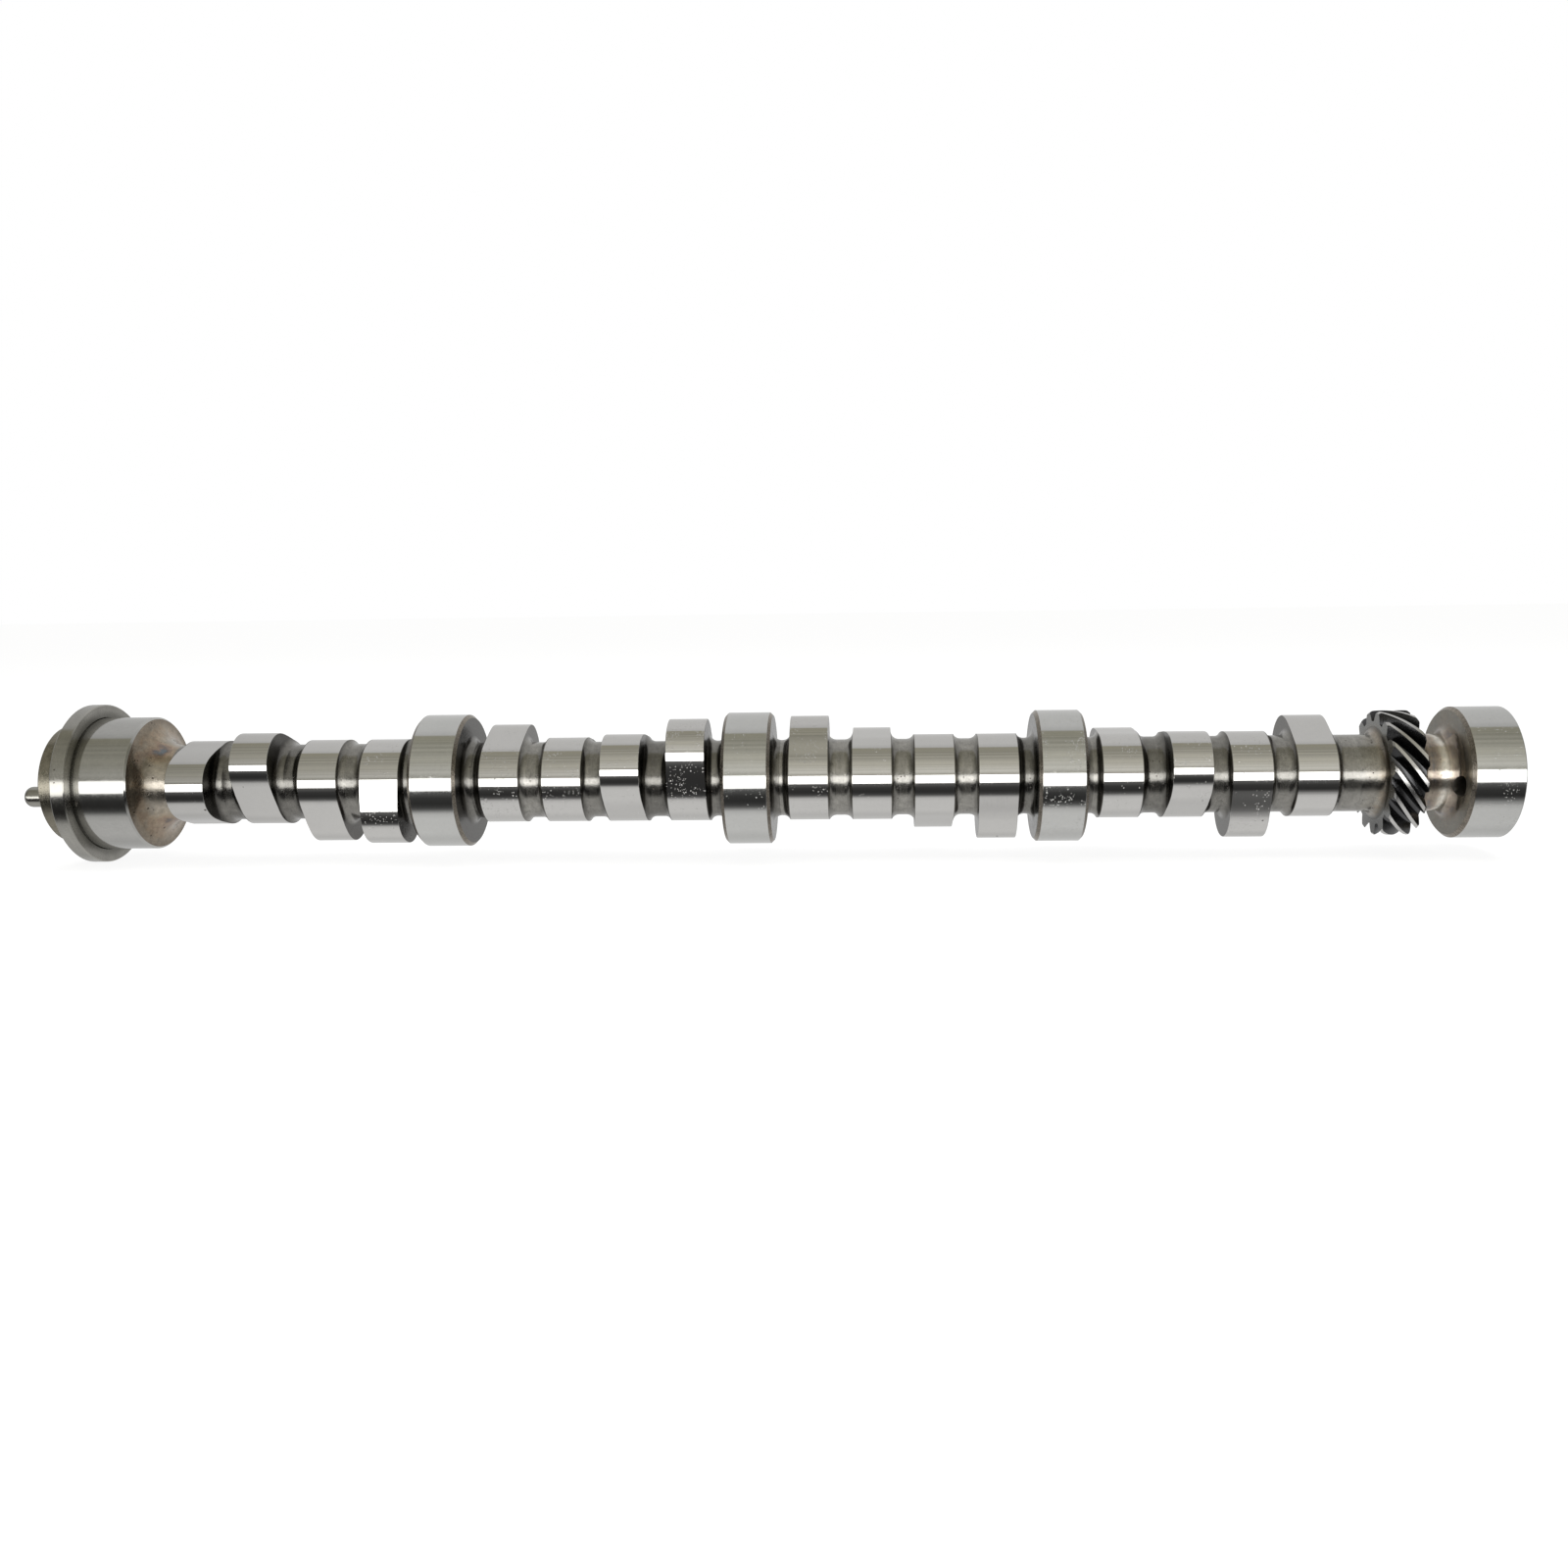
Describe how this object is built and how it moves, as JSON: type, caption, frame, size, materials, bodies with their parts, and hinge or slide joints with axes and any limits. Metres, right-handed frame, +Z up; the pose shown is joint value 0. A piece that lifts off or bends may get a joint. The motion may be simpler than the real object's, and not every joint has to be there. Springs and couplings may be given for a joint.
{
  "type": "camshaft",
  "caption": "Billet steel roller camshaft for a V engine, with ground journals and cam lobes, a front thrust flange with a dowel pin, and a helical distributor drive gear",
  "frame": {"origin": "on the shaft's axis at the middle of the front journal", "axes": "+X along the shaft from its front, flanged end to its rear end; +Z up; -Y is the side the first intake lobe's nose points to"},
  "size_m": [0.5633, 0.062, 0.0619],
  "materials": {
    "ground_steel": "ground and polished on journals and lobes, turned and heat tinted on the necks",
    "dowel_steel": "fine ground"
  },
  "bodies": {
    "root": {"camshaft": "ground_steel", "dowel_pin": "dowel_steel"}
  },
  "joints": []
}
